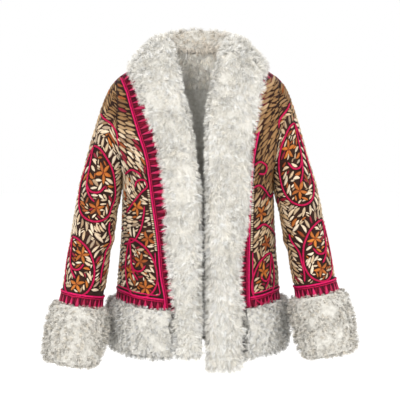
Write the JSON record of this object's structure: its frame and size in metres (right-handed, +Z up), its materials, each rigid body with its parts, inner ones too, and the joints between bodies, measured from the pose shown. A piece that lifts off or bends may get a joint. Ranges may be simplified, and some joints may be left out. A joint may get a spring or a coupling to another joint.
{
  "type": "afghan coat",
  "caption": "Hip-length embroidered sheepskin coat worn hanging open, with a shearling collar that runs down both fronts, a shearling hem and ball-shaped shearling cuffs",
  "frame": {"origin": "midway between the shoulders at the height where they carry the coat, on the plane through the side seams", "axes": "+Z up, the wearer faces -Y, +X is the wearer's left"},
  "size_m": [0.6935, 0.3645, 0.753],
  "materials": {
    "embroidered_skin": "matt suede under dense satin-stitch embroidery",
    "shearling": "curly wool pile, off-white",
    "border_band": "plum and magenta embroidered band"
  },
  "bodies": {
    "root": {"back": "embroidered_skin", "front_left": "embroidered_skin", "front_right": "embroidered_skin", "sleeve_left": "embroidered_skin", "sleeve_right": "embroidered_skin", "collar": "shearling", "front_trim_left": "shearling", "front_trim_right": "shearling", "hem_trim_left": "shearling", "hem_trim_right": "shearling", "hem_trim_back": "shearling", "cuff_left": "shearling", "cuff_right": "shearling", "neck_border_back": "border_band", "front_border_left": "border_band", "front_border_right": "border_band", "hem_border_left": "border_band", "hem_border_right": "border_band", "hem_border_back": "border_band", "cuff_border_left": "border_band", "cuff_border_right": "border_band"}
  },
  "joints": []
}
